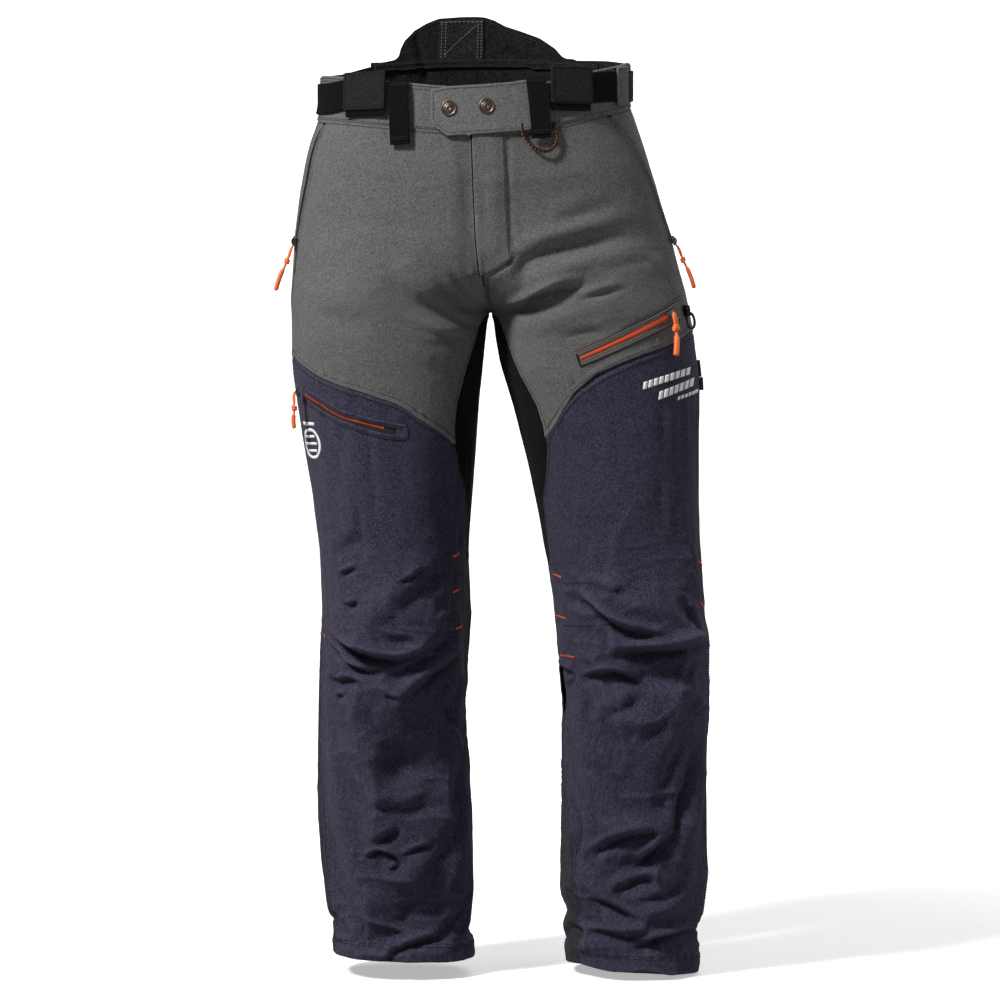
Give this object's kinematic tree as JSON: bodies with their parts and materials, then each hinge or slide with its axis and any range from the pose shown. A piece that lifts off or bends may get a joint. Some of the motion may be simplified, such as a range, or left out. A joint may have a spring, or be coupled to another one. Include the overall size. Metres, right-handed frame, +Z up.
{
  "type": "chainsaw protective trousers",
  "caption": "Forestry protective trousers with raised back, adjustable waistband, zipped pockets, stretch inner legs and cut-protection pads; legs bend at hip and knee.",
  "frame": {"origin": "centre of the bounding box at floor level, between the hems", "axes": "+X towards the left leg of the wearer, +Y towards the back, +Z up"},
  "size_m": [0.5213, 0.2746, 1.158],
  "materials": {
    "black_plastic": "satin",
    "black_webbing": "woven webbing",
    "dark_fabric": "plain weave",
    "grey_fabric": "plain weave, slightly brushed",
    "lining_fabric": "brushed lining",
    "mesh_lining": "knitted mesh",
    "navy_fabric": "dense ripstop weave with a fine fleck",
    "orange_cord": "braided cord",
    "pad_fibre": "layered long fibres",
    "slider_metal": "dark satin",
    "snap_bronze": "antique",
    "stretch_fabric": "ribbed knit",
    "zip_coil": "moulded coil on tape"
  },
  "bodies": {
    "waist": {"adjuster_strap_left": "black_webbing", "adjuster_strap_right": "black_webbing", "back_rise": "lining_fabric", "belt_loop_back_centre": "black_webbing", "belt_loop_back_left": "black_webbing", "belt_loop_back_right": "black_webbing", "belt_loop_front_left": "black_webbing", "belt_loop_front_right": "black_webbing", "fly_shield": "grey_fabric", "fly_zip": "zip_coil", "front_upper_left": "grey_fabric", "front_upper_right": "grey_fabric", "gusset_left": "stretch_fabric", "gusset_right": "stretch_fabric", "seat_left": "dark_fabric", "seat_right": "dark_fabric", "side_pocket_bag_left": "mesh_lining", "side_pocket_bag_right": "mesh_lining", "side_zip_left": "zip_coil", "side_zip_right": "zip_coil", "snap_stud_left": "snap_bronze", "snap_stud_right": "snap_bronze", "waistband_back": "grey_fabric", "waistband_left": "grey_fabric", "waistband_right": "grey_fabric"},
    "closure_tab": {"closure_tab": "grey_fabric", "snap_cap_left": "snap_bronze", "snap_cap_right": "snap_bronze"},
    "cord_loop": {"cord_loop": "orange_cord"},
    "fly_slider": {"fly_slider": "slider_metal"},
    "pocket_ring": {"pocket_ring": "black_plastic"},
    "adjuster_tab_left": {"adjuster_tab_left": "black_webbing"},
    "side_slider_left": {"side_slider_left": "slider_metal"},
    "side_pull_left": {"side_pull_left": "orange_cord"},
    "thigh_slider_left": {"thigh_slider_left": "slider_metal"},
    "thigh_pull_left": {"thigh_pull_left": "orange_cord"},
    "thigh_left": {"thigh_front_left": "navy_fabric", "thigh_back_left": "dark_fabric", "cut_pad_thigh_left": "pad_fibre", "thigh_zip_left": "zip_coil", "thigh_pocket_bag_left": "mesh_lining", "knee_left": "navy_fabric"},
    "shin_left": {"shin_front_left": "navy_fabric", "shin_back_left": "dark_fabric", "cut_pad_shin_left": "pad_fibre"},
    "adjuster_tab_right": {"adjuster_tab_right": "black_webbing"},
    "side_slider_right": {"side_slider_right": "slider_metal"},
    "side_pull_right": {"side_pull_right": "orange_cord"},
    "thigh_slider_right": {"thigh_slider_right": "slider_metal"},
    "thigh_pull_right": {"thigh_pull_right": "orange_cord"},
    "thigh_right": {"thigh_front_right": "navy_fabric", "thigh_back_right": "dark_fabric", "cut_pad_thigh_right": "pad_fibre", "thigh_zip_right": "zip_coil", "thigh_pocket_bag_right": "mesh_lining", "knee_right": "navy_fabric", "ring_tape": "black_webbing"},
    "shin_right": {"shin_front_right": "navy_fabric", "shin_back_right": "dark_fabric", "cut_pad_shin_right": "pad_fibre"}
  },
  "joints": [
    {"name": "hip_left", "type": "hinge", "parent": "waist", "child": "thigh_left", "pos_m": [-0.13328, -0.0267, 0.8826], "axis": [-1, 0, 0], "range_deg": [-10, 45], "deforming": ["front_upper_left", "seat_left", "gusset_left"]},
    {"name": "knee_left", "type": "hinge", "parent": "thigh_left", "child": "shin_left", "pos_m": [-0.12448, -0.0157, 0.4176], "axis": [1, 0, 0], "range_deg": [0, 60], "deforming": ["knee_left"]},
    {"name": "hip_right", "type": "hinge", "parent": "waist", "child": "thigh_right", "pos_m": [0.11073, -0.0267, 0.8826], "axis": [-1, 0, 0], "range_deg": [-10, 45], "deforming": ["front_upper_right", "seat_right", "gusset_right"]},
    {"name": "knee_right", "type": "hinge", "parent": "thigh_right", "child": "shin_right", "pos_m": [0.16297, -0.0157, 0.4176], "axis": [1, 0, 0], "range_deg": [0, 60], "deforming": ["knee_right"]},
    {"name": "closure_tab", "type": "hinge", "parent": "waist", "child": "closure_tab", "pos_m": [0.00813, -0.13039, 1.02834], "axis": [0, 0, 1], "range_deg": [0, 100]},
    {"name": "adjuster_tab_left", "type": "hinge", "parent": "waist", "child": "adjuster_tab_left", "pos_m": [-0.18568, -0.09108, 1.05099], "axis": [-0.019, -0.033, -0.9993], "range_deg": [0, 100]},
    {"name": "adjuster_tab_right", "type": "hinge", "parent": "waist", "child": "adjuster_tab_right", "pos_m": [0.10792, -0.1025, 1.05738], "axis": [-0.0168, 0.0391, 0.9991], "range_deg": [0, 100]},
    {"name": "cord_loop", "type": "hinge", "parent": "waist", "child": "cord_loop", "pos_m": [0.04486, -0.12648, 1.00717], "axis": [-0.9725, -0.2109, -0.099], "range_deg": [0, 60]},
    {"name": "fly_slider", "type": "slide", "parent": "waist", "child": "fly_slider", "axis": [0.0738, 0.0039, -0.9973], "range_m": [0, 0.14]},
    {"name": "side_slider_left", "type": "slide", "parent": "waist", "child": "side_slider_left", "axis": [0.1776, -0.0614, 0.9822], "range_m": [0, 0.095]},
    {"name": "side_pull_left", "type": "hinge", "parent": "side_slider_left", "child": "side_pull_left", "pos_m": [-0.2473, -0.05283, 0.87046], "axis": [-0.4047, 0.9052, 0.1298], "range_deg": [0, 80]},
    {"name": "thigh_slider_left", "type": "hinge", "parent": "thigh_left", "child": "thigh_slider_left", "pos_m": [-0.12766, -0.01968, 0.7114], "axis": [0.1177, -0.4715, 0.874], "range_deg": [0, 69.9]},
    {"name": "thigh_pull_left", "type": "hinge", "parent": "thigh_slider_left", "child": "thigh_pull_left", "pos_m": [-0.24376, -0.07484, 0.69728], "axis": [-0.4291, 0.9033, 0], "range_deg": [0, 80]},
    {"name": "side_slider_right", "type": "slide", "parent": "waist", "child": "side_slider_right", "axis": [-0.3627, -0.1664, 0.9169], "range_m": [0, 0.101]},
    {"name": "side_pull_right", "type": "hinge", "parent": "side_slider_right", "child": "side_pull_right", "pos_m": [0.20914, -0.04424, 0.87203], "axis": [-0.3282, -0.8981, -0.2929], "range_deg": [0, 80]},
    {"name": "thigh_slider_right", "type": "hinge", "parent": "thigh_right", "child": "thigh_slider_right", "pos_m": [0.11138, 0.00606, 0.76244], "axis": [-0.4, -0.1004, 0.911], "range_deg": [-50.3, 0]},
    {"name": "thigh_pull_right", "type": "hinge", "parent": "thigh_slider_right", "child": "thigh_pull_right", "pos_m": [0.20281, -0.10424, 0.79043], "axis": [-0.7699, -0.6382, 0], "range_deg": [0, 80]},
    {"name": "pocket_ring", "type": "hinge", "parent": "thigh_right", "child": "pocket_ring", "pos_m": [0.22409, -0.05813, 0.79265], "axis": [-0.3064, -0.9519, 0], "range_deg": [0, 70]}
  ]
}
